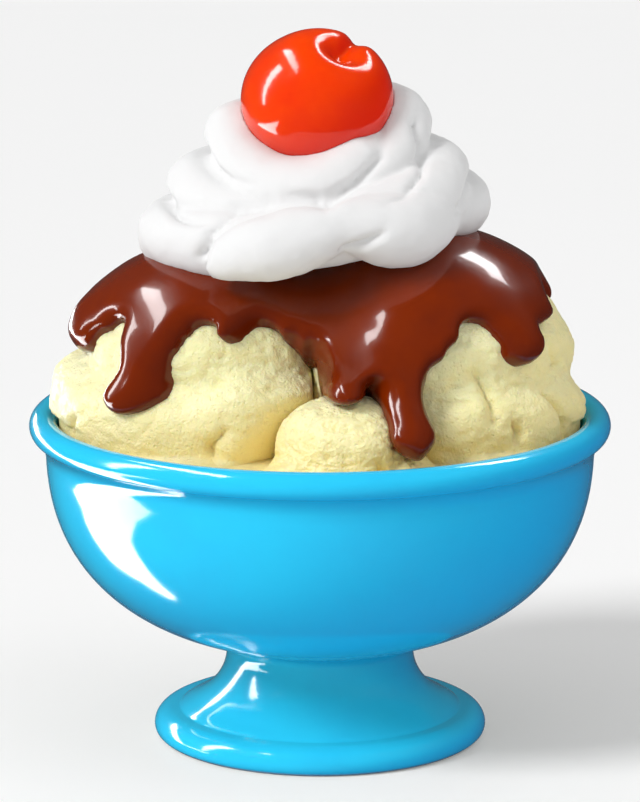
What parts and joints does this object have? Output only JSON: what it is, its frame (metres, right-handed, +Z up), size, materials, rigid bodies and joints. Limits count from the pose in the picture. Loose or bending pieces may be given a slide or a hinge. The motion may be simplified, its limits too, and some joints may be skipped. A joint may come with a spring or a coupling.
{
  "type": "ice cream sundae",
  "caption": "Ice cream sundae in a glazed footed bowl, with scoops of ice cream under dripping chocolate sauce, a piped swirl of whipped cream and a cherry on top.",
  "frame": {"origin": "centre of the base of the bowl's foot, on the table", "axes": "+Z up, -Y towards the front that the picture shows, +X to that front's right"},
  "size_m": [0.1078, 0.1078, 0.1337],
  "materials": {
    "cyan_glaze": "glossy glaze",
    "vanilla_ice_cream": "moist and slightly icy",
    "chocolate_sauce": "glossy",
    "whipped_cream": "soft satin",
    "cherry_skin": "glossy"
  },
  "bodies": {
    "root": {"bowl": "cyan_glaze", "scoop_left": "vanilla_ice_cream", "scoop_right": "vanilla_ice_cream", "scoop_front": "vanilla_ice_cream", "scoop_back": "vanilla_ice_cream", "chocolate_sauce": "chocolate_sauce", "whipped_cream": "whipped_cream", "cherry": "cherry_skin"}
  },
  "joints": []
}
